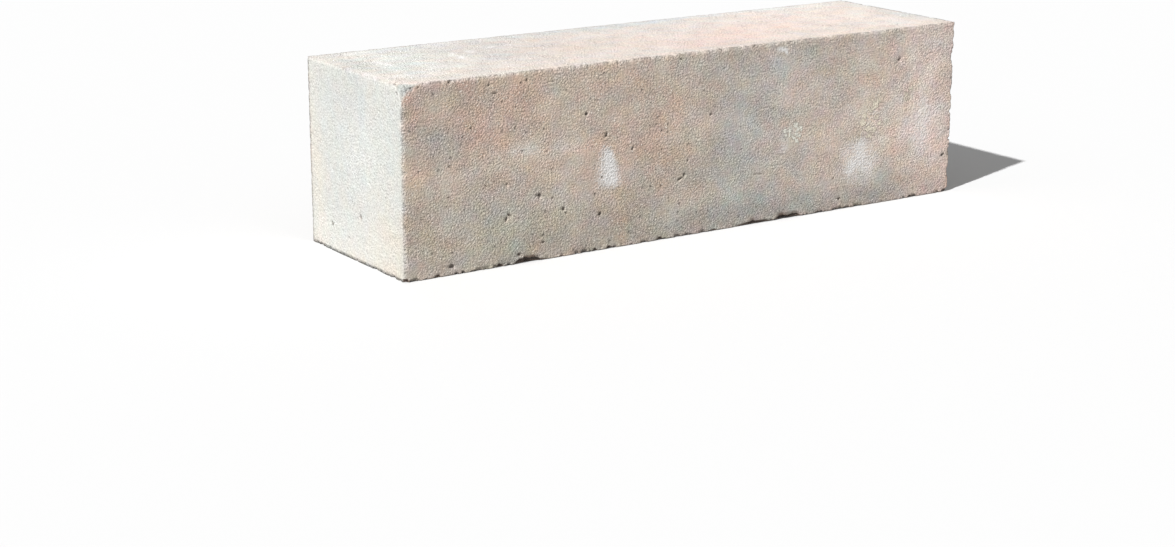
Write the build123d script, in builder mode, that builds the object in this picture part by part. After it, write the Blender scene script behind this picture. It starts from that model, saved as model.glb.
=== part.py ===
"""Rectangular concrete block for stacked garden walls, cast in one piece.

Millimetres, +Z up. The origin is the middle of the lower bed. +X runs along the length and
the face that shows in the wall is at -Y.
"""

import os

from build123d import *

# Overall size
length = 600.0
depth = 165.0
height = 165.0

# Rounding of the cast edges
top_arris_radius = 1.5
upright_arris_radius = 2.0
lower_arris_radius = 1.0

# Corner knocked off at the upper front left: what is lost of the three edges that meet there
knock_length = 15.0
knock_depth = 9.0
knock_height = 17.0
knock_edge_radius = 3.0

# Spalls of the lower front arris: from the left end to the middle, length, reach up the face
lower_spalls = (
    (92.0, 7.0, 3.0),
    (122.0, 37.0, 4.2),
    (189.0, 6.0, 2.2),
    (203.0, 6.0, 2.8),
    (258.0, 8.0, 3.4),
    (365.0, 50.0, 3.2),
    (403.0, 34.0, 4.8),
    (552.0, 7.0, 2.0),
)

# Spalls of the front right upright arris: from the bed to the middle, length, reach
upright_spalls = (
    (20.0, 12.0, 2.2),
    (98.0, 10.0, 2.4),
    (130.0, 16.0, 3.0),
)

# Nicks in the two lower front corners
left_nick_radius = 4.0
right_nick_radius = 3.0

left = -length / 2
right = length / 2
front = -depth / 2

with BuildPart() as wall_block:
    # The cast prism
    with BuildSketch():
        Rectangle(length, depth)
    extrude(amount=height)

    # The knocked corner is a slanting break
    corner_break = Plane(
        origin=(left + knock_length, front, height),
        z_dir=(-1 / knock_length, -1 / knock_depth, 1 / knock_height),
    )
    split(bisect_by=corner_break, keep=Keep.BOTTOM)
    break_face = wall_block.faces().sort_by(Axis(corner_break.origin, corner_break.z_dir))[-1]
    break_edges = break_face.edges()
    fillet(break_edges, knock_edge_radius)

    # Arrises
    upright_arrises = wall_block.edges().filter_by(Axis.Z)
    fillet(upright_arrises, upright_arris_radius)
    fillet(wall_block.faces().sort_by(Axis.Z)[-1].edges(), top_arris_radius)
    fillet(wall_block.faces().sort_by(Axis.Z)[0].edges(), lower_arris_radius)

    # Shell-shaped spalls: the outline of each is a bow, turned about its arris
    lower_arris = Plane(origin=(left, front, 0), x_dir=(1, 0, 0), z_dir=(0, -1, 0))
    upright_arris = Plane(origin=(right, front, 0), x_dir=(0, 0, 1), z_dir=(0, -1, 0))
    for arris, spalls in ((lower_arris, lower_spalls), (upright_arris, upright_spalls)):
        for middle, span, reach in spalls:
            start = (middle - span / 2, 0)
            end = (middle + span / 2, 0)
            with BuildSketch(arris):
                with BuildLine():
                    ThreePointArc(start, (middle, reach), end)
                    Line(end, start)
                make_face()
            revolve(axis=Axis(arris.origin, arris.x_dir), mode=Mode.SUBTRACT)

    # Nicked corners
    with Locations((left, front, 0)):
        Sphere(left_nick_radius, mode=Mode.SUBTRACT)
    with Locations((right, front, 0)):
        Sphere(right_nick_radius, mode=Mode.SUBTRACT)

wall_block.part.label = "wall_block"

os.makedirs("parts", exist_ok=True)
export_step(wall_block.part, "parts/wall_block.step")
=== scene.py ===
"""Looks of the concrete wall block: one worn mesh stands for the cast prism.

The mesh is worked out in millimetres, in the frame of the part: x along the length, the face
seen in the wall at the lowest y, z up from the lower bed. Blender gets it in metres.
"""

import itertools

import bmesh
import bpy
import numpy as np
from mathutils import Euler, Matrix, Vector


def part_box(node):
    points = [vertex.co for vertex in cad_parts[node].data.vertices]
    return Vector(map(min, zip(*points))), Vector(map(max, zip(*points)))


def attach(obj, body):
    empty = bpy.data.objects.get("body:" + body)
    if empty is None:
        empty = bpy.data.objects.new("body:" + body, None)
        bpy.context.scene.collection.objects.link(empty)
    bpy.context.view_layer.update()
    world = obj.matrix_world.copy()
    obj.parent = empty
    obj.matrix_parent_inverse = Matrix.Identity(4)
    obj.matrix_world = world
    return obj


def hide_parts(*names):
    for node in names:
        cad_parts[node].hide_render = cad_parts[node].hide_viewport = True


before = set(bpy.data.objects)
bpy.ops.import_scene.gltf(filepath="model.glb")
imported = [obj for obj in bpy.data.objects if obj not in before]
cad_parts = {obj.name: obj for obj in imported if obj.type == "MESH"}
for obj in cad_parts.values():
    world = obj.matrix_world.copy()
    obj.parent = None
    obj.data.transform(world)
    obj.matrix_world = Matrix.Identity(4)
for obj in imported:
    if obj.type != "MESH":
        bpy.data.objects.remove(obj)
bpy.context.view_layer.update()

NODE = "wall_block"
MM = 0.001
SEED = 20

# Size of the block, from the frame
low, high = (np.array(corner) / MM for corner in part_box(NODE))
length, depth, height = high - low
centre = (low + high) / 2
half = (high - low) / 2
left, front, bed = low
right, _, top = high

# Mesh cells: size of the coarse ones, and the cuts that make finer ones of them
COARSE_CELL = 3.5
FINE_CUTS = 3

# Where they are finer: how near to the arrises and to the two most chipped of them, how far beyond the
# knocked corner, how many cells beyond a pit, how many half sizes from the middle of a crust, and from
# what amount of lime on in the lime run
ARRIS_ZONE = 3.5
BATTERED_ZONE = 7.0
CORNER_MARGIN = 2.0
PIT_MARGIN = 0.8
CRUST_MARGIN = 1.4
LEAST_LIME = 0.02

# Wear of the arrises: their radius, how much it varies and over what length, how far in the chips
# reach, how deep they are, and how much deeper at the front, below and at the right
ARRIS_RADIUS = 0.5
ARRIS_VARIES = 0.6
ARRIS_WAVE = 19.0
RAGGED_REACH = 2.0
RAGGED_DEPTH = 0.35
RAGGED_DEPTH_FRONT = 1.0
RAGGED_DEPTH_LOWER = 1.4
RAGGED_DEPTH_RIGHT = 0.6

# Chips of the arrises, as layers of noise: size, strength and shift of each, and the noise at which
# a chip begins and is full
CHIPS = ((5.0, 0.5, 2.9), (2.2, 0.5, 6.4))
CHIP_EDGE = (0.0, 0.5)

# Width of the zones along the arrises in which they are more worn or darker
RIM_WIDTH = 14.0

# Unevenness of the cast faces: depth and size of the waves and of the dimples, and how much weaker
# the dimples are at the left end
UNEVEN_DEPTH = 0.30
UNEVEN_SIZE = 75.0
DIMPLE_DEPTH = 0.07
DIMPLE_SIZE = 16.0
LEFT_SMOOTHER = 0.6

# The prism's points move towards a smaller prism inside it: how far in that lies, how much of this
# they may go, and the steps that they take
WEAR_INSET = 16.0
WEAR_LIMIT = 0.9
WEAR_STEPS = 14
WEAR_STRIDE = 0.85

# Knocked upper front left corner: what is lost of its three edges, how soft the edges of the break
# are, its roughness as layers of noise, and how near to it its colour begins and is full
KNOCK = (15.0, 9.0, 14.0)
KNOCK_SOFT = 4.0
KNOCK_ROUGH = ((6.0, 1.4, 5.3), (2.4, 0.7, 9.1))
KNOCK_EDGE = (-2.2, -0.4)

# The arrises round off towards that corner: radius gained there, and how far it goes along x, y, z
CORNER_RADIUS = 4.0
CORNER_REACH = (16.0, 42.0, 14.0)

# Spalls of the lower front arris: from the left end to the middle, length, reach
LOWER_SPALLS = (
    (31.0, 9.0, 2.0),
    (92.0, 7.0, 3.0),
    (122.0, 37.0, 4.2),
    (189.0, 6.0, 2.2),
    (203.0, 6.0, 2.8),
    (258.0, 8.0, 3.4),
    (317.0, 9.0, 1.8),
    (365.0, 50.0, 3.2),
    (403.0, 34.0, 4.8),
    (437.0, 7.0, 1.5),
    (552.0, 7.0, 2.0),
)

# Spalls of the front right upright arris: from the bed to the middle, length, reach
UPRIGHT_SPALLS = (
    (20.0, 12.0, 2.2),
    (41.0, 7.0, 1.6),
    (79.0, 6.0, 1.6),
    (98.0, 10.0, 2.4),
    (130.0, 16.0, 3.0),
    (148.0, 6.0, 2.0),
    (159.0, 8.0, 2.4),
)

# Roughness of the spalls as layers of noise, and how deep inside one the painted shade is darkest
SPALL_ROUGH = ((8.0, 0.45, 3.1), (2.6, 0.27, 7.7))
DEEP_SPALL = 2.4

# Nicks in the lower front corners
LEFT_NICK = 4.0
RIGHT_NICK = 3.0

# Pits of the front face: from the left end, above the bed, width, height, depth, tilt in degrees
FRONT_PITS = (
    (45.0, 7.6, 4.8, 3.8, 2.2, 0),
    (111.3, 8.3, 3.4, 2.8, 1.9, 20),
    (135.6, 15.6, 3.2, 2.0, 1.5, 10),
    (193.8, 32.5, 2.8, 3.6, 1.6, -15),
    (156.3, 42.0, 2.6, 3.4, 1.6, 10),
    (158.6, 38.0, 1.8, 3.0, 1.1, 25),
    (101.5, 44.0, 5.0, 1.7, 1.4, -35),
    (98.8, 40.5, 1.7, 5.0, 1.4, -10),
    (131.9, 57.2, 3.4, 3.2, 2.1, 0),
    (99.6, 71.0, 2.0, 1.8, 1.1, 0),
    (78.8, 72.0, 1.9, 1.7, 1.0, 0),
    (43.0, 66.6, 2.4, 1.7, 1.1, 0),
    (65.0, 122.2, 2.3, 2.2, 1.0, 0),
    (68.6, 122.9, 2.0, 1.3, 0.8, 0),
    (179.6, 121.9, 3.4, 3.3, 1.9, 30),
    (119.6, 157.3, 2.2, 3.2, 1.1, 0),
    (82.5, 156.5, 2.4, 2.0, 1.3, 0),
    (88.0, 149.2, 4.8, 1.4, 1.0, -6),
    (200.0, 101.0, 2.6, 2.6, 1.5, 0),
    (228.0, 86.0, 2.0, 3.8, 1.3, -20),
    (278.8, 159.4, 3.2, 1.5, 1.0, -30),
    (312.5, 107.2, 2.8, 2.2, 1.3, 0),
    (287.5, 68.0, 1.8, 2.2, 1.1, 0),
    (279.5, 52.7, 8.0, 2.0, 1.5, 18),
    (283.8, 55.8, 2.4, 3.2, 1.3, -20),
    (367.0, 46.0, 13.0, 1.3, 0.8, -3),
    (532.0, 135.0, 3.2, 2.4, 1.5, 25),
    (464.0, 10.2, 3.2, 2.2, 1.5, 30),
    (456.0, 31.0, 2.2, 2.0, 1.2, 0),
    (592.0, 37.0, 5.0, 2.6, 1.6, 30),
    (9.8, 162.4, 2.6, 2.2, 1.2, 0),
    (16.3, 161.2, 2.2, 1.8, 1.0, 0),
    (30.0, 154.7, 2.0, 1.8, 1.0, 0),
    (44.2, 162.2, 2.0, 1.4, 0.7, 0),
)

# Pits of the left end: behind the middle, above the bed, width, height, depth, tilt
END_PITS = (
    (44.3, 24.3, 4.0, 3.8, 1.8, 0),
    (-8.1, 40.3, 3.6, 3.0, 1.5, 0),
    (14.0, 18.0, 2.4, 2.2, 1.1, 0),
    (40.0, 72.0, 2.2, 2.0, 1.0, 0),
    (-75.1, 157.0, 2.4, 3.4, 1.2, -15),
    (-76.7, 151.5, 1.8, 3.0, 1.0, 0),
)

# Pits strewn over the other faces: how many for each square metre, widths, depth as a share of them,
# and the share of the face that stays free along its rims
STREWN_PITS = 150
STREWN_WIDTHS = (1.4, 3.0)
STREWN_DEPTH = 0.4
STREWN_MARGIN = 0.03

# Shape of the pits, in half sizes from the middle: the brim, the width of the wall inside it, and how
# far out a ragged brim may be
PIT_BRIM = 1.25
PIT_WALL = 0.8
PIT_REACH = 1.6

# How ragged the pits are, the size of that, and the depth at which a pit's painted shade is darkest
PIT_RAGGED = 0.35
PIT_RAGGED_SIZE = 1.9
DEEP_PIT = 1.6

# A point this near to a side of the prism lies on it
ON_SIDE = 0.01

# Albedo of the concrete, and the painted shade and highlights laid on it, as linear colours
SAND = (0.689, 0.596, 0.518)
END = (0.615, 0.617, 0.585)
BED_TOP = (0.777, 0.706, 0.651)
BED_LOW = (0.560, 0.500, 0.440)
LIME = (0.960, 0.940, 0.920)
CREAM = (0.950, 0.925, 0.820)
GOLDEN = (1.000, 0.905, 0.740)
# Rims of breaks: reddish, partly their own colour and partly painted shade. Breaks: painted shade.
BREAK_RIM_AND_SHADE = (0.400, 0.290, 0.230)
BREAK_SHADE = (0.110, 0.090, 0.080)
KNOCKED = (0.540, 0.565, 0.530)
# Pits and larger pores: painted shade.
PORE_SHADE = (0.140, 0.115, 0.095)
# Small pores: painted shadow. Pale grains: their own colour, partly painted highlight.
DARK_SPECK_SHADOW = (0.180, 0.150, 0.120)
PALE_SPECK_HIGHLIGHT = (0.960, 0.890, 0.800)

# Painted shade in the hollows, with the colours of the rims of breaks (reddish, partly painted shade), of
# breaks and of
# pits: the shares of the darkest depth at which each begins and is full, and how much of it there is at the
# two
BREAK_RIM_SHADE_RANGE = (0.0, 0.4, 0.0, 0.9)
BREAK_SHADE_RANGE = (0.35, 0.8, 0.0, 0.95)
PIT_SHADE_RANGE = (0.1, 0.9, 0.0, 0.65)

# Painted shade on the arrises: how much darker than the faces the lower arrises, those of the right end
# and the knocked corner are painted, and how much of that the other front arrises and the rest have
ARRIS_PAINTED_SHADE = 0.22
FRONT_ARRIS_SHARE = 0.7
OTHER_ARRIS_SHARE = 0.35

# Dashes of painted shadow along the arrises, for the shadows in small chips: length, how much darker
# again they are, and the noise at which one begins and is full
SHADOW_DASH_SIZE = 4.0
ARRIS_SHADOW_DASHES = 1.8
SHADOW_DASH_EDGE = (0.1, 0.6)

# How much greener the concrete is where it is less warm
COOL_GREEN = 0.08

# Clouds of colour: place of the middle on the face, half width, half height, and how much lighter,
# warmer (redder than blue) and greener the concrete is there, in hundredths.
# On the front face the place is from the left end and above the bed.
FRONT_CLOUDS = (
    (330, 6, 330, 16, -13, 2, 0),
    # This band, darker just under the upper arris, is painted shade.
    (300, 164, 330, 6, -9, 4, 0),
    (85, 125, 58, 42, -3, 13, -1.2),
    (100, 152, 30, 14, 0, 7, -1),
    (9, 150, 8, 8, -2, 8, -1),
    (240, 112, 68, 46, -4, 12, 0),
    (145, 118, 40, 26, 0, 6, 0),
    (25, 30, 26, 26, -4, 7, 0),
    (50, 154, 70, 18, -11, 3, 0.3),
    (14, 70, 22, 50, -5, 0, 0.5),
    (60, 50, 30, 20, -5, 0, 0),
    (588, 50, 18, 30, 6, 3, 0),
    (588, 150, 16, 20, 6, -2, 0),
    (380, 10, 60, 14, -5, 5, 0),
    (220, 14, 14, 16, 0, 7, 0),
    (340, 152, 24, 16, -10, -2, 0),
    (385, 116, 26, 16, 5, 0, 0),
    (475, 116, 36, 16, 5, -2, -0.8),
    (540, 16, 24, 12, -8, 2, 0),
    (165, 76, 30, 14, 0, 8, 0),
    (8, 110, 14, 60, 0, 8, 0),
    (20, 75, 30, 20, 0, 6, 0),
    (210, 156, 110, 16, 6, 1, 0),
    (80, 35, 110, 36, -5, -5, 3.5),
    (172, 16, 110, 22, -11, 0, 2),
    (345, 85, 42, 85, -3, -12, 0),
    (322, 72, 16, 34, -2, -8, 0),
    (350, 72, 26, 16, 0, -6, 0),
    (335, 115, 20, 18, -4, -6, 0),
    (386, 122, 16, 22, 0, -9, 0),
    (405, 150, 40, 14, -2, -11, 0),
    (330, 54, 28, 14, -6, -6, 0),
    (270, 52, 70, 20, -9, 0, 0),
    (360, 12, 110, 13, -11, -14, 1),
    (412, 13, 26, 12, 0, -8, 0),
    (575, 90, 45, 120, 20, 0, -4),
    (520, 90, 45, 50, 14, 2, 0),
    (512, 55, 34, 22, 8, 2, 0),
    (560, 70, 20, 44, 10, -2, 0),
    (540, 155, 70, 16, 6, -3, 0),
    (420, 100, 50, 50, 6, 0, -0.8),
    (455, 60, 34, 34, 8, 4, -1),
    (500, 14, 40, 10, -16, -8, 0),
    (218, 25, 9, 28, 0, 12, 0),
    (37, 114, 17, 12, -5, -18, 0),
    (60, 86, 50, 5, 7, 0, 0),
    (112, 92, 34, 6, 9, -4, 0),
    (165, 93, 28, 6, 13, 2, 0),
    (122, 97, 10, 7, 4, -6, 0),
    (146, 150, 5, 15, 0, -10, 0),
    (45, 57, 20, 8, 0, -7, 0),
    (85, 45, 18, 7, 0, -8, 0),
    (117, 20, 9, 20, 0, -7, 0),
    (232, 55, 9, 10, 0, -8, 0),
    (395, 75, 8, 10, 4, -8, 0),
    (497, 88, 18, 18, 4, 7, 2),
    (519, 25, 16, 12, -7, -10, 0),
    (500, 9, 28, 8, -2, -8, 0),
)

# On the left end the place is from the middle of the depth and above the bed
END_CLOUDS = (
    (12, 150, 48, 22, -5, -2, 0),
    (74, 85, 16, 90, 4, 9, 0.7),
    (-15, 95, 30, 40, 6, -1, 0),
    (58, 12, 45, 24, 9, 3, 0),
    (-62, 22, 32, 34, 1, 13, 1.5),
    (-10, 2, 80, 8, 1, 10, 0),
    (-10, 130, 7, 36, -1, -7, -0.5),
    (-27, 150, 8, 12, 1, 8, 0.5),
    (-15, 14, 34, 20, 5, 2, 0),
    (-80, 70, 7, 90, -6, 3, 1),
)

# On the upper bed the place is from the left end and from the middle of the depth
TOP_CLOUDS = (
    (50, 10, 60, 75, 6, -12, 3),
    (15, 20, 12, 40, -12, -2, 0),
    (140, 24, 50, 50, -10, -5, 0),
    (215, 15, 45, 60, -5, 0, 0),
    (300, 76, 130, 14, -8, -17, 1),
    (480, 80, 150, 10, 8, -12, 0),
    (120, 80, 90, 10, 8, -8, 0),
    (290, -20, 60, 40, -3, 5, -1),
    (400, -20, 50, 45, 0, 11, -3),
    (340, -45, 40, 30, -2, 8, -4),
    (475, 10, 60, 50, 4, 6, -2),
    (560, -30, 50, 60, 6, 0, 0),
    (592, -10, 14, 60, -5, -8, 1),
    (80, -62, 90, 20, 1, 4, 0),
    (200, -5, 55, 50, 1, 6, -0.5),
    (510, 60, 110, 32, 5, 0, 0),
    (325, -20, 60, 26, 4, 0, 0.8),
    (480, -70, 110, 10, 4, 4, 0),
    (300, -76, 330, 12, -5, 2, 0),
)

# Chance clouds: size, and how much lighter, warmer and greener at most, in hundredths. The wide ones
# lie on the faces without clouds of their own.
CHANCE_CLOUDS = ((32.0, 2.5, 4.0, 0.8), (15.0, 6.0, 7.0, 0.8), (8.0, 6.0, 5.5, 0.8))
WIDE_CHANCE_CLOUDS = ((95.0, 10.0, 14.0, 2.0), (48.0, 8.0, 12.0, 2.0))
CLOUD_STRETCH = (0.7, 1.0, 1.0)

# How the clouds are pushed out of shape: size and reach of each layer of noise, and how much of it
# goes along x, y and z
CLOUD_WARP = ((26.0, 8.0), (9.0, 3.0))
CLOUD_WARP_SHARES = (1.0, 1.0, 0.7)

# How strongly the clouds and the grain show on each side and at the arrises
SHOWS = {"front": 1.0, "back": 1.0, "top": 0.48, "lower": 0.48, "left": 0.12, "right": 0.6}
SHOWS_ARRIS = 0.5

# How much the left end has of the specks, of the lighter and darker sand and of the relief
LEFT_SPECKS = 0.3
LEFT_SAND = 0.56
LEFT_RELIEF = 0.42

# How much the right end has of the colour of the long faces and of the wide chance clouds
RIGHT_SANDY = 0.4
RIGHT_WIDE = 0.6

# White lime bloom on the front face: from the left end, above the bed, half width, half height,
# strength
FRONT_LIME = (
    (488.0, 50.0, 14.0, 16.0, 0.88),
    (477.0, 42.0, 11.0, 14.0, 0.88),
    (496.0, 36.0, 9.0, 12.0, 0.74),
    (485.0, 44.0, 28.0, 28.0, 0.50),
    (563.0, 72.0, 15.0, 42.0, 0.45),
    (390.5, 156.5, 7.0, 4.5, 0.95),
    (394.5, 153.5, 2.5, 2.5, 1.00),
    (395.0, 67.0, 6.0, 5.0, 0.45),
    (404.0, 80.0, 14.0, 11.0, 0.30),
    (498.0, 82.0, 20.0, 17.0, 0.26),
    (565.0, 74.0, 8.0, 9.0, 0.60),
    (578.0, 148.0, 26.0, 20.0, 0.20),
    (120.0, 97.0, 40.0, 4.0, 0.25),
)

# White lime streaks on the upper bed: from the left end, from the middle of the depth, half width,
# half depth, strength
TOP_LIME = (
    (37.0, 10.0, 4.0, 18.0, 0.75),
    (38.0, 70.0, 16.0, 10.0, 0.5),
    (108.0, 8.0, 5.0, 32.0, 0.60),
    (128.0, 24.0, 7.0, 9.0, 0.60),
    (157.0, 35.0, 8.0, 5.0, 0.55),
    (175.0, 35.0, 9.0, 4.0, 0.50),
    (20.0, -52.0, 16.0, 12.0, 0.45),
    (62.0, -30.0, 18.0, 5.0, 0.35),
    (92.0, -8.0, 5.0, 12.0, 0.35),
    (285.0, 45.0, 4.0, 14.0, 0.35),
    (545.0, -8.0, 14.0, 6.0, 0.3),
)

# A wedge of lime that has run down: from the left end to its foot and to its tip, foot and tip above
# the bed, half widths there, and its strength along its right and left sides
LIME_RUN_FOOT = (202.0, 55.5, 16.0)
LIME_RUN_TIP = (199.3, 91.5, 6.0)
LIME_RUN_STRENGTH = (1.05, 0.50)

# How the lime is pushed out of shape: size and reach of each layer of noise, and how much of it the
# wedge and, along the depth, the streaks on the upper bed have
LIME_WARP = ((12.0, 4.0), (4.0, 1.6))
LIME_RUN_WARP = 0.35
TOP_LIME_WARP = 2.0

# Cream and golden crusts on the front face: from the left end, above the bed, half width, half height,
# strength
FRONT_CREAM = (
    (397.0, 82.5, 4.2, 3.4, 0.85),
    (402.4, 82.0, 3.4, 3.4, 0.90),
    (402.8, 78.0, 3.4, 3.0, 0.80),
    (397.8, 78.0, 3.6, 2.8, 0.70),
    (409.3, 86.8, 4.0, 3.8, 0.90),
    (412.0, 82.4, 3.0, 3.6, 0.80),
    (415.0, 83.0, 2.8, 4.2, 1.00),
    (410.3, 78.6, 3.2, 3.0, 0.85),
    (413.4, 76.0, 3.2, 2.6, 0.90),
    (408.0, 74.8, 3.0, 2.8, 0.75),
    (411.0, 71.4, 3.4, 3.0, 0.95),
)
FRONT_GOLDEN = (
    (504.0, 95.0, 4.1, 4.5, 1.35),
    (508.0, 98.0, 3.7, 2.8, 1.10),
    (499.0, 91.0, 5.0, 4.0, 0.70),
    (492.0, 86.0, 3.2, 4.1, 1.10),
    (489.5, 80.0, 4.5, 4.1, 1.35),
    (497.0, 73.0, 5.0, 4.1, 1.05),
    (503.0, 72.0, 4.0, 4.0, 0.85),
    (510.0, 77.0, 3.5, 3.5, 0.95),
    (506.5, 83.5, 4.5, 3.5, 0.65),
    (498.0, 66.0, 6.0, 4.0, 0.70),
    (543.0, 99.0, 5.0, 7.0, 0.60),
    (547.0, 106.0, 4.5, 4.0, 0.65),
)

# How far the crusts stand out, and how much of the grain's relief the lime fills
CRUST_RELIEF = 0.9
LIME_FILLS = 0.25

# How the grain breaks up the lime and the crusts: strength of the fine and of the coarse grain in
# this, size of the coarse one, and how many times more the crusts are broken up
SPECKLE_FINE = 0.42
SPECKLE_COARSE = 0.15
SPECKLE_SIZE = 3.6
CRUST_SPECKLE = 1.8

# Amounts of lime or crust at which it begins and is full, with the grain in them and without it
LIME_EDGE = (0.10, 0.95)
LIME_FADE = (0.02, 0.25)
CRUST_EDGE = (0.35, 0.65)
CRUST_FADE = (0.05, 0.30)

# Fine grain of the surface: size and height of its relief, size of the rougher and smoother patches
# and the factors on it there, size of the sand, and the factors on its darkest and lightest grains
GRAIN_SIZE = 1.75
GRAIN_RELIEF = 2.3
PATCH_SIZE = 24.0
PATCH_RANGE = (0.35, 1.65)
SAND_SIZE = 1.65
SAND_RANGE = (0.63, 1.37)

# Mottling between the grains and the clouds: size, and how much lighter, warmer and greener at most
MOTTLE_SIZE = 12.0
MOTTLE_LIGHT = 0.14
MOTTLE_WARM = 0.095
MOTTLE_GREEN = 0.09

# Small pores, dark with painted shadow, and pale grains, partly painted highlight, strewn through the
# surface:
# spacing, radii at which they are full and end, relief, which of them are dark or pale, and how much of
# their colour they have
SPECK_SIZE = 2.9
SPECK_RADII = (0.35, 0.85)
SPECK_RELIEF = 0.6
DARK_CHANCE = (0.78, 0.88)
DARK_STRENGTH = 0.72
PALE_CHANCE = (0.76, 0.86)
PALE_STRENGTH = 0.85

# The rarer larger pores in the same way, their dark colour painted shade. On the front they close from left
# to right, between two places from the left end, down to a share of what they are.
PORE_SIZE = 10.0
PORE_RADII = (0.7, 1.5)
PORE_RELIEF = 1.3
PORE_CHANCE = (0.30, 0.55)
PORE_STRENGTH = 0.5
PORES_CLOSE = (200.0, 420.0)
PORES_RIGHT = 0.2

# Size of the raggedness of specks and pores
RAGGED_SPOTS = 1.6

# Coarser lumps of the grain towards the right end of the front: size, relief, from the left end
# to where they begin and where they are full
LUMP_SIZE = 3.2
LUMP_RELIEF = 1.0
LUMP_REACH = (470.0, 585.0)

# Finish of the surface
ROUGHNESS = 0.93
SPECULAR = 0.25

# Light: the way the key travels, its level and its width in degrees, the level of the sky, the floor's
# colour as it is seen and as it throws light back, and half its width in metres
KEY_TRAVEL = (0.676, 0.234, -0.699)
KEY_LEVEL = 1.35
KEY_SOFTNESS = 1.5
SKY_LEVEL = 0.33
FLOOR_SEEN = 0.775
FLOOR_BOUNCE = 0.40
FLOOR_HALF = 30.0

# Camera: width of the picture and focal length in its pixels, place, and the ways ahead and across
PHOTO_WIDTH = 1175
FOCAL_PIXELS = 2179.8
CAMERA_PLACE = (-1135.62, -1595.62, 486.15)
CAMERA_FORWARD = (0.53732, 0.79998, -0.26706)
CAMERA_RIGHT = (0.83047, -0.55706, 0.00225)
SENSOR_WIDTH = 36.0


# Noise in space

NOISE_CELLS = 64
NOISE_TABLE = np.random.default_rng(SEED).uniform(-1.0, 1.0, (NOISE_CELLS,) * 3)
NOISE_TURN = np.array(Euler((0.5, 0.8, 1.1)).to_matrix())


def noise(points, size, shift=0.0):
    """Smooth noise from -1 to 1 with bumps of about that size, turned so that it doesn't line up.

    Another shift gives other bumps of the same size.
    """
    spots = points @ NOISE_TURN / size + shift
    cells = np.floor(spots).astype(int)
    part = spots - cells
    part = part * part * part * (part * (part * 6 - 15) + 10)
    total = np.zeros(len(points))
    for corner in itertools.product((0, 1), repeat=3):
        weight = np.prod(np.where(corner, part, 1 - part), axis=1)
        i, j, k = ((cells + corner) % NOISE_CELLS).T
        total += weight * NOISE_TABLE[i, j, k]
    return total


def layered(points, layers):
    """Noise added up from layers of size, strength and shift."""
    return sum(strength * noise(points, size, shift) for size, strength, shift in layers)


def warps(points, layers, shifts):
    """How far patches are pushed out of shape: for each shift, noise from layers of size and reach."""
    pushes = []
    for shift in shifts:
        shifted = [(size, reach, shift + 3 * number) for number, (size, reach) in enumerate(layers)]
        pushes.append(layered(points, shifted))
    return pushes


def smooth_step(values, start, end):
    """A smooth rise from 0 at the start to 1 at the end, level beyond them."""
    share = np.clip((values - start) / (end - start), 0.0, 1.0)
    return share * share * (3 - 2 * share)


def smooth_max(a, b, soft):
    """The larger of two fields, rounded where they meet."""
    share = np.maximum(soft - np.abs(a - b), 0.0) / soft
    return np.maximum(a, b) + share * share * soft / 4


# Places on the block

def front_place(points):
    """Place of points on the front face: from the left end, and above the bed."""
    return points[:, 0] - left, points[:, 2] - bed


def arris_distance(points):
    """How far a point of the prism's surface is from the nearest arris."""
    slabs = np.sort(np.abs(points - centre) - half, axis=1)
    return -slabs[:, 1]


def chipped_distances(points):
    """Distances to the two arrises that are chipped most: the lower front and the front right one."""
    to_front = points[:, 1] - front
    return np.hypot(to_front, points[:, 2] - bed), np.hypot(to_front, points[:, 0] - right)


def corner_share(points):
    """1 at the knocked corner, falling to 0 along the arrises that meet there."""
    away = (points - (left, front, top)) / CORNER_REACH
    return np.exp(-(away ** 2).sum(axis=1))


def rims(points):
    """1 at the front, the right end and the lower bed, falling to 0 a rim's width away from each."""
    x, y, z = points.T
    at_front = smooth_step(y, front + RIM_WIDTH, front)
    at_right = smooth_step(x, right - RIM_WIDTH, right)
    at_bed = smooth_step(z, bed + RIM_WIDTH, bed)
    return at_front, at_right, at_bed


# Wear of the block

def spall_field(points):
    """Above zero inside the spalls and corner nicks."""
    rough = 1 + layered(points, SPALL_ROUGH)
    from_left, above = front_place(points)
    to_lower, to_right = chipped_distances(points)
    runs = ((LOWER_SPALLS, from_left, to_lower), (UPRIGHT_SPALLS, above, to_right))
    inside = np.full(len(points), -np.inf)
    for spalls, along, away in runs:
        for middle, span, reach in spalls:
            bow = reach * (1 - ((along - middle) / (span / 2)) ** 2)
            inside = np.maximum(inside, bow * rough - away)
    for x, radius in ((left, LEFT_NICK), (right, RIGHT_NICK)):
        inside = np.maximum(inside, radius * rough - np.linalg.norm(points - (x, front, bed), axis=1))
    return inside


def knock_field(points):
    """Above zero outside the slanting break of the knocked corner."""
    normal = np.array((-1 / KNOCK[0], -1 / KNOCK[1], 1 / KNOCK[2]))
    normal /= np.linalg.norm(normal)
    plane = (points - (left + KNOCK[0], front, top)) @ normal
    return plane + layered(points, KNOCK_ROUGH)


def rounded_field(points):
    """About the distance out of the prism with rounded arrises, below zero inside it."""
    radius = ARRIS_RADIUS * (1 + ARRIS_VARIES * noise(points, ARRIS_WAVE, 1.7))
    radius += CORNER_RADIUS * corner_share(points)
    slabs = np.abs(points - centre) - half + radius[:, None]
    return np.linalg.norm(np.maximum(slabs, 0), axis=1) + np.minimum(slabs.max(axis=1), 0) - radius


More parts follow.
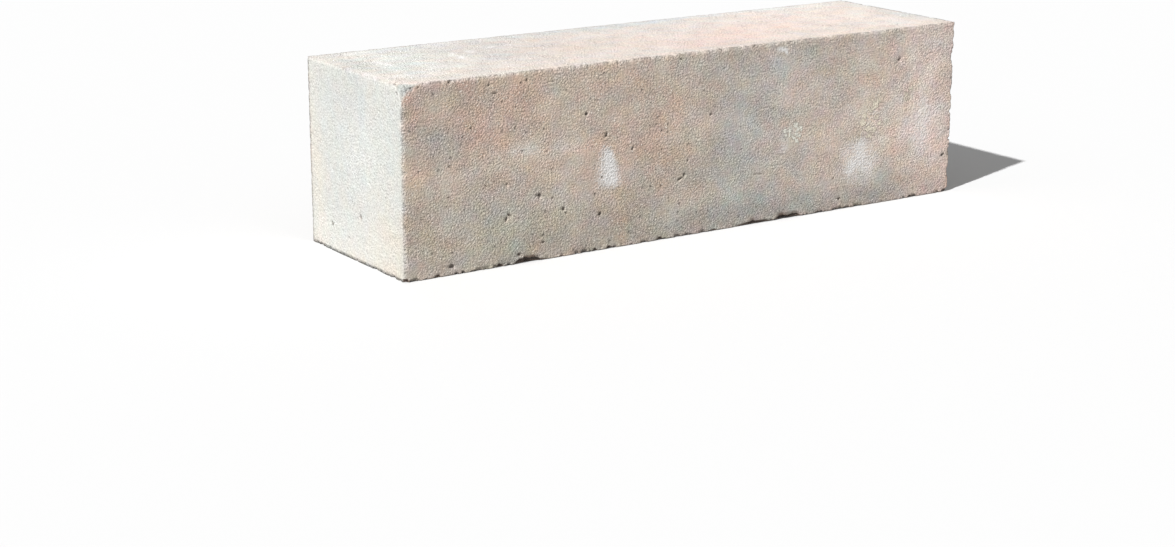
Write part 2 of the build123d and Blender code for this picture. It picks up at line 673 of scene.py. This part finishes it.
def worn_field(points):
    """About the distance out of the worn block, below zero inside it."""
    field = rounded_field(points)
    field += UNEVEN_DEPTH * (1 + noise(points, UNEVEN_SIZE)) / 2
    at_left = smooth_step(points[:, 0], left + RIM_WIDTH, left)
    field += DIMPLE_DEPTH * (1 - LEFT_SMOOTHER * at_left) * (1 + noise(points, DIMPLE_SIZE, 4.2)) / 2
    at_front, at_right, at_bed = rims(points)
    ragged = RAGGED_DEPTH + RAGGED_DEPTH_LOWER * at_bed
    ragged += RAGGED_DEPTH_RIGHT * at_right
    ragged += RAGGED_DEPTH_FRONT * at_front
    chips = smooth_step(layered(points, CHIPS), *CHIP_EDGE)
    field += ragged * chips * np.exp(-(arris_distance(points) / RAGGED_REACH) ** 2)
    field = np.maximum(field, spall_field(points))
    return smooth_max(field, knock_field(points), KNOCK_SOFT)


def worn_in(points):
    """Moves points of the prism's surface in until they lie on the worn block."""
    inner = np.clip(points, low + WEAR_INSET, high - WEAR_INSET)
    inward = inner - points
    inward /= np.linalg.norm(inward, axis=1)[:, None]
    way = np.zeros(len(points))
    for _ in range(WEAR_STEPS):
        step = WEAR_STRIDE * worn_field(points + inward * way[:, None])
        way = np.clip(way + step, 0.0, WEAR_INSET * WEAR_LIMIT)
    return points + inward * way[:, None]


# Pits

def all_pits():
    """Each pit as its middle, the two directions of its face, the way in, half sizes, depth, tilt."""
    pits = []
    along_x, along_y, up = np.eye(3)
    for from_left, above, width, tall, deep, tilt in FRONT_PITS:
        middle = np.array((left + from_left, front, bed + above))
        pits.append((middle, along_x, up, along_y, width / 2, tall / 2, deep, np.radians(tilt)))
    for behind, above, width, tall, deep, tilt in END_PITS:
        middle = np.array((left, behind, bed + above))
        pits.append((middle, along_y, up, along_x, width / 2, tall / 2, deep, np.radians(tilt)))
    strew = np.random.default_rng(SEED + 1)
    axes = np.eye(3)
    for axis, side in itertools.product(range(3), (low, high)):
        if axis == 1 and side is low:
            continue
        first, second = (axes[i] for i in range(3) if i != axis)
        way_in = axes[axis] * (1.0 if side is low else -1.0)
        area = np.prod([2 * half[i] for i in range(3) if i != axis])
        for _ in range(int(STREWN_PITS * area * MM * MM)):
            middle = low + (high - low) * strew.uniform(STREWN_MARGIN, 1 - STREWN_MARGIN, 3)
            middle[axis] = side[axis]
            width, tall = strew.uniform(*STREWN_WIDTHS, 2)
            tilt = strew.uniform(0, np.pi)
            deep = STREWN_DEPTH * (width + tall) / 2
            pits.append((middle, first, second, way_in, width / 2, tall / 2, deep, tilt))
    return pits


def pit_depths(points, pits, margin=0.0):
    """Depth of the pits at points of the prism's surface, and the way in there."""
    depths = np.zeros(len(points))
    ways = np.zeros((len(points), 3))
    wobble = 1 + PIT_RAGGED * noise(points, PIT_RAGGED_SIZE, 8.3)
    for middle, first, second, way_in, wide, tall, deep, tilt in pits:
        away = points - middle
        reach = max(wide, tall) * PIT_REACH + margin
        near = np.flatnonzero((np.abs(away @ way_in) < ON_SIDE) & (np.linalg.norm(away, axis=1) < reach))
        u, v = away[near] @ first, away[near] @ second
        across = (u * np.cos(tilt) + v * np.sin(tilt)) / (wide + margin)
        along = (v * np.cos(tilt) - u * np.sin(tilt)) / (tall + margin)
        bowl = deep * smooth_step(PIT_BRIM - np.hypot(across, along) * wobble[near], 0.0, PIT_WALL)
        deeper = bowl > depths[near]
        depths[near[deeper]] = bowl[deeper]
        ways[near[deeper]] = way_in
    return depths, ways


# Mesh

def lattice_box():
    """The prism as a closed mesh of nearly square cells."""
    mesh = bmesh.new()
    bmesh.ops.create_cube(mesh, size=1.0)
    for vert in mesh.verts:
        vert.co = Vector(centre + np.array(vert.co) * (high - low))
    for axis in range(3):
        along = [e for e in mesh.edges if abs(e.verts[1].co[axis] - e.verts[0].co[axis]) > 1.0]
        cuts = round((high - low)[axis] / COARSE_CELL) - 1
        bmesh.ops.subdivide_edges(mesh, edges=along, cuts=cuts, use_grid_fill=True)
    return mesh


def mesh_points(mesh):
    return np.array([vert.co for vert in mesh.verts])


def patterned(points):
    """True where the front face carries marks smaller than a coarse cell: its crusts and the lime run."""
    u, v = front_place(points)
    marked = lime_run(u, v) > LEAST_LIME
    for x, z, wide, tall, _ in FRONT_CREAM + FRONT_GOLDEN:
        marked |= np.hypot((u - x) / wide, (v - z) / tall) < CRUST_MARGIN
    return marked & (points[:, 1] < front + ON_SIDE)


def refine(mesh, pits):
    """Cuts the cells at the arrises, knocked corner and pits, and under the crusts and the lime run."""
    points = mesh_points(mesh)
    fine = arris_distance(points) < ARRIS_ZONE
    fine |= np.minimum(*chipped_distances(points)) < BATTERED_ZONE
    fine |= np.linalg.norm(points - (left, front, top), axis=1) < max(KNOCK) + CORNER_MARGIN
    fine |= pit_depths(points, pits, COARSE_CELL * PIT_MARGIN)[0] > 0
    fine |= patterned(points)
    mesh.verts.index_update()
    edges = [e for e in mesh.edges if fine[e.verts[0].index] and fine[e.verts[1].index]]
    bmesh.ops.subdivide_edges(mesh, edges=edges, cuts=FINE_CUTS, use_grid_fill=True)
    bmesh.ops.triangulate(mesh, faces=[f for f in mesh.faces if len(f.verts) > 4])


# Colour over the block

SIDES = {
    "front": (0, -1, 0),
    "back": (0, 1, 0),
    "left": (-1, 0, 0),
    "right": (1, 0, 0),
    "top": (0, 0, 1),
    "lower": (0, 0, -1),
}

# How squarely a point faces a side where it begins to belong to it, and where it wholly does
SIDE_EDGE = (0.80, 0.93)


def shares(normals):
    """How much each point belongs to each side of the block, and to none of them at the arrises."""
    return {name: smooth_step(normals @ np.array(way), *SIDE_EDGE) for name, way in SIDES.items()}


def face_show(normals):
    """How strongly the clouds and the grain show, by the side."""
    show = np.full(len(normals), SHOWS_ARRIS)
    for name, share in shares(normals).items():
        show += (SHOWS[name] - SHOWS_ARRIS) * share
    return show


def ellipse(u, v, middle_u, middle_v, half_u, half_v):
    """1 in the middle of a soft-edged ellipse, 0 outside it."""
    reach = np.hypot((u - middle_u) / half_u, (v - middle_v) / half_v)
    return smooth_step(reach, 1.25, 0.25)


def drift(points, clouds):
    """Chance clouds: how much lighter, warmer and greener each point is, in hundredths."""
    stretched = points * CLOUD_STRETCH
    total = np.zeros((len(points), 3))
    for size, *amounts in clouds:
        for number, amount in enumerate(amounts):
            total[:, number] += amount * noise(stretched, size, 41.0 + 7.3 * number)
    return total


def listed(clouds, u, v):
    """Clouds from a list, at points with the places u and v on their face."""
    total = np.zeros((len(u), 3))
    for middle_u, middle_v, wide, tall, *tint in clouds:
        blob = np.exp(-((u - middle_u) / wide) ** 2 - ((v - middle_v) / tall) ** 2)
        total += blob[:, None] * tint
    return total


def face_tints(points, normals, knocked):
    """How much lighter, warmer and greener each point is, from the clouds on its face."""
    on = shares(normals)
    show = face_show(normals)
    warp = np.stack(warps(points, CLOUD_WARP, (11.3, 12.9, 14.1)), axis=1)
    x, y, z = (points + warp * CLOUD_WARP_SHARES).T
    tints = drift(points, CHANCE_CLOUDS) * np.stack([show ** 2, show ** 0.5, show ** 0.5], axis=1)
    wide_shares = on["back"] + on["lower"] + RIGHT_WIDE * on["right"]
    tints += drift(points, WIDE_CHANCE_CLOUDS) * wide_shares[:, None]
    tints += listed(FRONT_CLOUDS, x - left, z - bed) * (on["front"] * (1 - knocked))[:, None]
    tints += listed(END_CLOUDS, y, z - bed) * on["left"][:, None]
    tints += listed(TOP_CLOUDS, x - left, y) * on["top"][:, None]
    return tints


def base_colours(normals, knocked):
    """Colour of the concrete of each side and of the knocked corner, before the clouds."""
    weights = np.abs(normals) ** 6
    weights /= weights.sum(axis=1)[:, None]
    bed_colours = np.where(normals[:, 2:] > 0, BED_TOP, BED_LOW)
    base = weights[:, :1] * np.array(END) + weights[:, 1:2] * np.array(SAND) + weights[:, 2:] * bed_colours
    base += (np.array(SAND) - base) * (RIGHT_SANDY * shares(normals)["right"])[:, None]
    base += (np.array(KNOCKED) - base) * knocked[:, None]
    return base


def arris_painted_shade(points, normals):
    """Factor on the colour of the arrises: painted shade, darker than the faces, most of all in dashes of
    painted shadow.
    """
    between = 1 - sum(shares(normals).values())
    at_front, at_right, at_bed = rims(points)
    others = np.full(len(points), OTHER_ARRIS_SHARE)
    rim = np.maximum.reduce((at_bed, at_right, at_front * FRONT_ARRIS_SHARE, corner_share(points), others))
    dashes = 1 + ARRIS_SHADOW_DASHES * smooth_step(noise(points, SHADOW_DASH_SIZE, 17.0), *SHADOW_DASH_EDGE)
    return 1 - ARRIS_PAINTED_SHADE * between * rim * dashes


def cloud_colours(points, normals):
    """Linear colour of the concrete before its grain, with painted shade on the arrises."""
    knocked = smooth_step(knock_field(points), *KNOCK_EDGE)
    light, warm, green = face_tints(points, normals, knocked).T
    green = green - COOL_GREEN * warm
    steps = np.stack([light + warm / 2, light + green, light - warm / 2], axis=1)
    colours = base_colours(normals, knocked) * np.exp(steps / 100)
    return colours * arris_painted_shade(points, normals)[:, None]


def lump_amount(points, normals):
    """How strongly the grain is lumpy: on the front, towards its right end."""
    return smooth_step(points[:, 0] - left, *LUMP_REACH) * shares(normals)["front"]


def lime_run(u, v):
    """The wedge of lime: firm along its right side, thinner and softer to the left and at its foot."""
    rise = np.clip((v - LIME_RUN_FOOT[1]) / (LIME_RUN_TIP[1] - LIME_RUN_FOOT[1]), -0.3, 1.3)
    middle = LIME_RUN_FOOT[0] + (LIME_RUN_TIP[0] - LIME_RUN_FOOT[0]) * rise
    half_width = LIME_RUN_FOOT[2] + (LIME_RUN_TIP[2] - LIME_RUN_FOOT[2]) * np.clip(rise, 0.0, 1.0)
    across = (u - middle) / half_width
    firm, thin = LIME_RUN_STRENGTH
    strength = thin + (firm - thin) * smooth_step(across, -0.8, 0.2)
    sides = smooth_step(across, 1.3, 0.4) * smooth_step(across, -1.4, -0.4)
    return strength * sides * smooth_step(rise, -0.14, 0.22) * smooth_step(rise, 1.15, 0.75)


def lime_amount(points, normals):
    """How much white lime lies on the front face and the upper bed."""
    on = shares(normals)
    u_shift, v_shift = warps(points, LIME_WARP, (31.3, 33.1))
    u, v = front_place(points)
    lime = lime_run(u + u_shift * LIME_RUN_WARP, v + v_shift * LIME_RUN_WARP)
    for x, z, wide, tall, strength in FRONT_LIME:
        lime = np.maximum(lime, strength * ellipse(u + u_shift, v + v_shift, x, z, wide, tall))
    lime *= on["front"]
    for x, y, wide, deep, strength in TOP_LIME:
        streak = ellipse(u + u_shift, points[:, 1] + v_shift * TOP_LIME_WARP, x, y, wide, deep)
        lime = np.maximum(lime, strength * streak * on["top"])
    return lime


def crust_amount(points, normals, crusts):
    """How much of the listed crusts lies on the front face."""
    u, v = front_place(points)
    amount = np.zeros(len(points))
    for x, z, wide, tall, strength in crusts:
        amount = np.maximum(amount, strength * ellipse(u, v, x, z, wide, tall))
    return amount * shares(normals)["front"]


def pore_amount(points, normals):
    """How open the larger pores are: most are closed towards the right end of the front."""
    closed = smooth_step(points[:, 0] - left, *PORES_CLOSE) * shares(normals)["front"]
    return 1 - (1 - PORES_RIGHT) * closed


# Unwrapping: the four long faces as strips one above the other, the ends beside them

UV_GAP = 6.0


def face_layout(points, normal):
    """Place of points on the unwrapped sheet, in millimetres, for a face that looks along normal."""
    x, y, z = (points - low).T
    axis = int(np.argmax(np.abs(normal)))
    row = height + UV_GAP
    if axis == 0:
        shift = 0.0 if normal[0] < 0 else depth + UV_GAP
        return np.stack([length + UV_GAP * 2 + y, UV_GAP + z + shift], axis=1)
    strip = {(1, -1): (z, 0), (2, 1): (y, 1), (1, 1): (z, 2), (2, -1): (y, 3)}
    across, number = strip[axis, int(np.sign(normal[axis]))]
    return np.stack([UV_GAP + x, UV_GAP + across + number * row], axis=1)


def unwrap(mesh, prism_normals):
    """Lays every face out by the side of the prism that it came from."""
    sheet = max(length + depth + UV_GAP * 4, 4 * (max(height, depth) + UV_GAP) + UV_GAP)
    layer = mesh.uv_layers.new(name="OFBake")
    points = np.array([v.co for v in mesh.vertices]) / MM
    loops = np.zeros(len(mesh.loops), int)
    mesh.loops.foreach_get("vertex_index", loops)
    counts = np.zeros(len(mesh.polygons), int)
    mesh.polygons.foreach_get("loop_total", counts)
    loop_points = points[loops]
    loop_normals = np.repeat(prism_normals, counts, axis=0)
    spots = np.zeros((len(loops), 2))
    for normal in np.concatenate([np.eye(3), -np.eye(3)]):
        chosen = (loop_normals @ normal) > 0.5
        spots[chosen] = face_layout(loop_points[chosen], normal)
    layer.data.foreach_set("uv", (spots / sheet).astype(np.float32).ravel())


# Nodes

def add(tree, kind, inputs=None, **settings):
    """Adds a node, sets its properties and sets or links its inputs."""
    new = tree.nodes.new(kind)
    for name, value in settings.items():
        setattr(new, name, value)
    for name, value in (inputs or {}).items():
        if isinstance(value, bpy.types.NodeSocket):
            tree.links.new(value, new.inputs[name])
        else:
            new.inputs[name].default_value = value
    return new


def node_tree(holder):
    """Gives a material or a world an empty node tree."""
    holder.use_nodes = True
    holder.node_tree.nodes.clear()
    return holder.node_tree


class Graph:
    """Short ways to add the nodes of a material and to get what they give. Sizes are in millimetres."""

    def __init__(self, tree):
        self.tree = tree
        self.place = add(tree, "ShaderNodeTexCoord").outputs["Object"]

    def attribute(self, name, output="Fac"):
        return add(self.tree, "ShaderNodeAttribute", attribute_name=name).outputs[output]

    def noise(self, size, detail, rough=0.55, output="Fac"):
        inputs = {"Vector": self.place, "Scale": 1 / (size * MM), "Detail": detail, "Roughness": rough}
        return add(self.tree, "ShaderNodeTexNoise", inputs).outputs[output]

    def math(self, operation, a, b, c=0.0):
        return add(self.tree, "ShaderNodeMath", {0: a, 1: b, 2: c}, operation=operation).outputs["Value"]

    def times(self, a, b):
        return self.math("MULTIPLY", a, b)

    def ranged(self, value, a, b, to_a=0.0, to_b=1.0, kind="LINEAR"):
        inputs = {"Value": value, "From Min": a, "From Max": b, "To Min": to_a, "To Max": to_b}
        return add(self.tree, "ShaderNodeMapRange", inputs, interpolation_type=kind).outputs["Result"]

    def eased(self, value, a, b, to_a=0.0, to_b=1.0):
        return self.ranged(value, a, b, to_a, to_b, "SMOOTHSTEP")

    def channels(self, colour):
        return add(self.tree, "ShaderNodeSeparateColor", {"Color": colour}).outputs

    def blended(self, share, a, b, blend="MIX"):
        new = add(self.tree, "ShaderNodeMix", data_type="RGBA", blend_type=blend)
        sockets = {s.identifier: s for s in new.inputs}
        for name, value in (("Factor_Float", share), ("A_Color", a), ("B_Color", b)):
            if isinstance(value, bpy.types.NodeSocket):
                self.tree.links.new(value, sockets[name])
            else:
                sockets[name].default_value = value if name == "Factor_Float" else (*value, 1.0)
        return next(s for s in new.outputs if s.identifier == "Result_Color")


# Concrete

def mottled(graph, colour, show):
    """The colour, made a little lighter, warmer or greener from place to place."""
    chance = graph.channels(graph.noise(MOTTLE_SIZE, 1.0, 0.5, "Color"))

    def swing(channel, amount, power):
        share = graph.ranged(chance[channel], 0.0, 1.0, -amount, amount)
        return graph.times(share, graph.math("POWER", show, power))

    light = graph.math("ADD", swing("Red", MOTTLE_LIGHT, 2.0), 1.0)
    warm = swing("Green", MOTTLE_WARM, 0.5)
    green = swing("Blue", MOTTLE_GREEN, 0.5)
    green = graph.math("SUBTRACT", green, graph.times(warm, 2 * COOL_GREEN))
    inputs = {
        "Red": graph.math("ADD", light, warm),
        "Green": graph.math("ADD", light, green),
        "Blue": graph.math("SUBTRACT", light, warm),
    }
    tint = add(graph.tree, "ShaderNodeCombineColor", inputs).outputs["Color"]
    return graph.blended(1.0, colour, tint, "MULTIPLY")


def ragged_place(graph):
    """Place on the block, pushed about so that spots get a ragged outline."""
    push = graph.noise(RAGGED_SPOTS, 1.0, 0.5, "Color")
    inputs = {0: push, 1: (RAGGED_SPOTS * MM,) * 3, 2: graph.place}
    return add(graph.tree, "ShaderNodeVectorMath", inputs, operation="MULTIPLY_ADD").outputs["Vector"]


def strewn(graph, ragged, spacing, radii):
    """Spots strewn at about that spacing, and three chance numbers for each."""
    inner, outer = radii
    cells = add(graph.tree, "ShaderNodeTexVoronoi", {"Vector": ragged, "Scale": 1 / (spacing * MM)})
    spots = graph.eased(cells.outputs["Distance"], inner / spacing, outer / spacing, 1.0, 0.0)
    return spots, graph.channels(cells.outputs["Color"])


def specks(graph, ragged, grains):
    """Where the small pores with painted shadow and the pale grains with painted highlight are."""
    spots, chance = strewn(graph, ragged, SPECK_SIZE, SPECK_RADII)
    spots = graph.times(spots, grains)
    dark = graph.times(spots, graph.eased(chance["Red"], *DARK_CHANCE))
    pale = graph.times(spots, graph.eased(chance["Green"], *PALE_CHANCE))
    return dark, pale


def open_pores(graph, ragged, grains):
    """Where the larger pores are, which get painted shade."""
    spots, chance = strewn(graph, ragged, PORE_SIZE, PORE_RADII)
    spots = graph.times(spots, grains)
    pores = graph.times(spots, graph.eased(chance["Red"], *PORE_CHANCE))
    return graph.times(pores, graph.attribute("pored"))


def lime_and_crusts(graph, colour, fine):
    """The colour with lime and crusts in ragged patches on the grain, and where the two are."""
    speckle = graph.ranged(fine, 0.25, 0.75, -SPECKLE_FINE, SPECKLE_FINE)
    coarse = graph.ranged(graph.noise(SPECKLE_SIZE, 2.0), 0.2, 0.8, -SPECKLE_COARSE, SPECKLE_COARSE)
    speckle = graph.math("ADD", speckle, coarse)
    amount = graph.attribute("lime")
    lime = graph.ranged(graph.math("ADD", amount, speckle), *LIME_EDGE)
    lime = graph.times(lime, graph.eased(amount, *LIME_FADE))
    colour = graph.blended(lime, colour, LIME)
    speckle = graph.times(speckle, CRUST_SPECKLE)
    crusts = 0.0
    for name, crust_colour in (("cream", CREAM), ("golden", GOLDEN)):
        amount = graph.attribute(name)
        crust = graph.eased(graph.math("ADD", amount, speckle), *CRUST_EDGE)
        crust = graph.times(crust, graph.eased(amount, *CRUST_FADE))
        colour = graph.blended(crust, colour, crust_colour)
        crusts = graph.math("ADD", crust, crusts)
    return colour, lime, crusts


def hollow_shade(graph, colour):
    """The colour with painted shade in the spalls, reddish at their rims, and in the pits, darker the
    deeper they go.
    """
    spalls = graph.attribute("hollow_shade")
    colour = graph.blended(graph.eased(spalls, *BREAK_RIM_SHADE_RANGE), colour, BREAK_RIM_AND_SHADE)
    colour = graph.blended(graph.eased(spalls, *BREAK_SHADE_RANGE), colour, BREAK_SHADE)
    return graph.blended(graph.eased(graph.attribute("pit_shade"), *PIT_SHADE_RANGE), colour, PORE_SHADE)


def concrete():
    """Clouded and mottled concrete with sand, specks, pores, lime and crusts, and their relief."""
    material = bpy.data.materials.new("concrete")
    tree = node_tree(material)
    graph = Graph(tree)
    show = graph.attribute("show")
    grains = graph.ranged(show, SHOWS["left"], SHOWS["front"], LEFT_SPECKS, 1.0)
    patches = graph.ranged(graph.noise(PATCH_SIZE, 2.0), 0.3, 0.7, *PATCH_RANGE)
    patches = graph.math("MULTIPLY_ADD", graph.math("SUBTRACT", patches, 1.0), grains, 1.0)
    ragged = ragged_place(graph)
    dark, pale = specks(graph, ragged, grains)
    pores = open_pores(graph, ragged, grains)
    fine = graph.noise(GRAIN_SIZE, 2.5)

    # Colour
    colour = mottled(graph, graph.attribute("clouds", "Color"), show)
    sand = graph.ranged(graph.noise(SAND_SIZE, 1.5), 0.25, 0.75, *SAND_RANGE)
    sandy = graph.times(patches, graph.ranged(show, SHOWS["left"], SHOWS["front"], LEFT_SAND, 1.0))
    colour = graph.blended(sandy, colour, sand, "MULTIPLY")
    # Painted shadow in the small pores and painted highlight on the pale grains.
    colour = graph.blended(graph.times(dark, DARK_STRENGTH), colour, DARK_SPECK_SHADOW)
    colour = graph.blended(graph.times(pale, PALE_STRENGTH), colour, PALE_SPECK_HIGHLIGHT)
    colour, lime, crusts = lime_and_crusts(graph, colour, fine)
    # Painted shade in the larger pores.
    colour = graph.blended(graph.times(pores, PORE_STRENGTH), colour, PORE_SHADE)
    colour = hollow_shade(graph, colour)

    # Relief
    rough = graph.times(patches, graph.ranged(show, SHOWS["left"], SHOWS["top"], LEFT_RELIEF, 1.0))
    relief = graph.times(graph.times(graph.math("SUBTRACT", fine, 0.5), rough), GRAIN_RELIEF * MM)
    relief = graph.times(relief, graph.ranged(lime, 0.0, 1.0, 1.0, 1.0 - LIME_FILLS))
    lumps = graph.math("SUBTRACT", graph.noise(LUMP_SIZE, 1.0), 0.5)
    lumps = graph.times(lumps, graph.attribute("lumps"))
    rises = (
        (lumps, LUMP_RELIEF),
        (crusts, CRUST_RELIEF),
        (dark, -SPECK_RELIEF),
        (pale, SPECK_RELIEF / 2),
        (pores, -PORE_RELIEF),
    )
    for amount, rise in rises:
        relief = graph.math("MULTIPLY_ADD", amount, rise * MM, relief)
    bump = add(tree, "ShaderNodeBump", {"Height": relief, "Strength": 1.0, "Distance": 1.0})

    shader = add(tree, "ShaderNodeBsdfPrincipled", {"Base Color": colour, "Normal": bump.outputs["Normal"]})
    shader.inputs["Roughness"].default_value = ROUGHNESS
    shader.inputs["Specular IOR Level"].default_value = SPECULAR
    add(tree, "ShaderNodeOutputMaterial", {"Surface": shader.outputs["BSDF"]})
    return material


# The block

def set_attribute(mesh, name, values):
    """Stores a number or a colour for each point of the mesh."""
    if values.ndim == 1:
        kind, field = "FLOAT", "value"
    else:
        kind, field = "FLOAT_COLOR", "color"
        values = np.concatenate([values, np.ones((len(values), 1))], axis=1)
    data = mesh.attributes.new(name, kind, "POINT").data
    data.foreach_set(field, values.astype(np.float32).ravel())


def block():
    """The worn block, in place of the cast prism."""
    pits = all_pits()
    shape = lattice_box()
    refine(shape, pits)
    shape.normal_update()
    prism_normals = np.array([face.normal for face in shape.faces])
    start = mesh_points(shape)
    mesh = bpy.data.meshes.new("worn_block")
    shape.to_mesh(mesh)
    shape.free()

    depths, ways = pit_depths(start, pits)
    worn = worn_in(start) + ways * depths[:, None]
    mesh.vertices.foreach_set("co", (worn * MM).astype(np.float32).ravel())
    mesh.update()
    mesh.shade_smooth()
    normals = np.zeros(len(worn) * 3, np.float32)
    mesh.vertex_normals.foreach_get("vector", normals)
    normals = normals.reshape(-1, 3).astype(float)

    set_attribute(mesh, "clouds", cloud_colours(worn, normals))
    set_attribute(mesh, "show", face_show(normals))
    set_attribute(mesh, "lime", lime_amount(worn, normals))
    set_attribute(mesh, "cream", crust_amount(worn, normals, FRONT_CREAM))
    set_attribute(mesh, "golden", crust_amount(worn, normals, FRONT_GOLDEN))
    set_attribute(mesh, "pored", pore_amount(worn, normals))
    set_attribute(mesh, "pit_shade", np.clip(depths / DEEP_PIT, 0.0, 1.0))
    set_attribute(mesh, "hollow_shade", smooth_step(spall_field(start), 0.0, DEEP_SPALL))
    set_attribute(mesh, "lumps", lump_amount(worn, normals))
    unwrap(mesh, prism_normals)
    mesh.materials.append(concrete())
    piece = bpy.data.objects.new("worn_block", mesh)
    bpy.context.scene.collection.objects.link(piece)
    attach(piece, "root")
    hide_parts(NODE)


# Floor, light and camera

def seen_or_thrown(tree, seen_level, thrown_level):
    """One level for what is seen directly or in a gloss, another for the light thrown on the block."""
    path = add(tree, "ShaderNodeLightPath")
    seen = path.outputs["Is Camera Ray"]
    for name in ("Is Glossy Ray", "Is Transmission Ray"):
        inputs = {0: seen, 1: path.outputs[name]}
        seen = add(tree, "ShaderNodeMath", inputs, operation="MAXIMUM").outputs["Value"]
    inputs = {"Value": seen, "To Min": thrown_level, "To Max": seen_level}
    return add(tree, "ShaderNodeMapRange", inputs).outputs["Result"]


def floor():
    """A pale floor: white to the eye, less so to the light that it throws back."""
    material = bpy.data.materials.new("floor")
    tree = node_tree(material)
    level = seen_or_thrown(tree, FLOOR_SEEN, FLOOR_BOUNCE)
    shader = add(tree, "ShaderNodeBsdfDiffuse", {"Color": level})
    add(tree, "ShaderNodeOutputMaterial", {"Surface": shader.outputs["BSDF"]})
    mesh = bpy.data.meshes.new("floor")
    size = FLOOR_HALF
    corners = [(-size, -size, 0), (size, -size, 0), (size, size, 0), (-size, size, 0)]
    mesh.from_pydata(corners, [], [(0, 1, 2, 3)])
    mesh.materials.append(material)
    plane = bpy.data.objects.new("floor", mesh)
    plane.location.z = bed * MM
    bpy.context.scene.collection.objects.link(plane)


def lights():
    """One key from the left, and an even white sky."""
    lamp = bpy.data.lights.new("key", "SUN")
    lamp.energy = KEY_LEVEL * np.pi
    lamp.angle = np.radians(KEY_SOFTNESS)
    key = bpy.data.objects.new("key", lamp)
    key.rotation_euler = Vector(KEY_TRAVEL).to_track_quat("-Z", "Y").to_euler()
    bpy.context.scene.collection.objects.link(key)

    world = bpy.data.worlds.new("sky")
    tree = node_tree(world)
    level = seen_or_thrown(tree, 1.0, SKY_LEVEL)
    sky = add(tree, "ShaderNodeBackground", {"Strength": level})
    sky.inputs["Color"].default_value = (1.0, 1.0, 1.0, 1.0)
    add(tree, "ShaderNodeOutputWorld", {"Surface": sky.outputs["Background"]})
    bpy.context.scene.world = world


def camera():
    """The photograph's point of view."""
    lens = bpy.data.cameras.new("camera")
    lens.sensor_fit = "HORIZONTAL"
    lens.sensor_width = SENSOR_WIDTH
    lens.lens = FOCAL_PIXELS * SENSOR_WIDTH / PHOTO_WIDTH
    forward = Vector(CAMERA_FORWARD).normalized()
    across = Vector(CAMERA_RIGHT).normalized()
    up = across.cross(forward)
    view = bpy.data.objects.new("camera", lens)
    turn = Matrix((across, up, -forward)).transposed()
    view.matrix_world = Matrix.Translation(Vector(CAMERA_PLACE) * MM) @ turn.to_4x4()
    bpy.context.scene.collection.objects.link(view)
    bpy.context.scene.camera = view


block()
floor()
lights()
camera()
bpy.context.scene.view_settings.view_transform = "Standard"
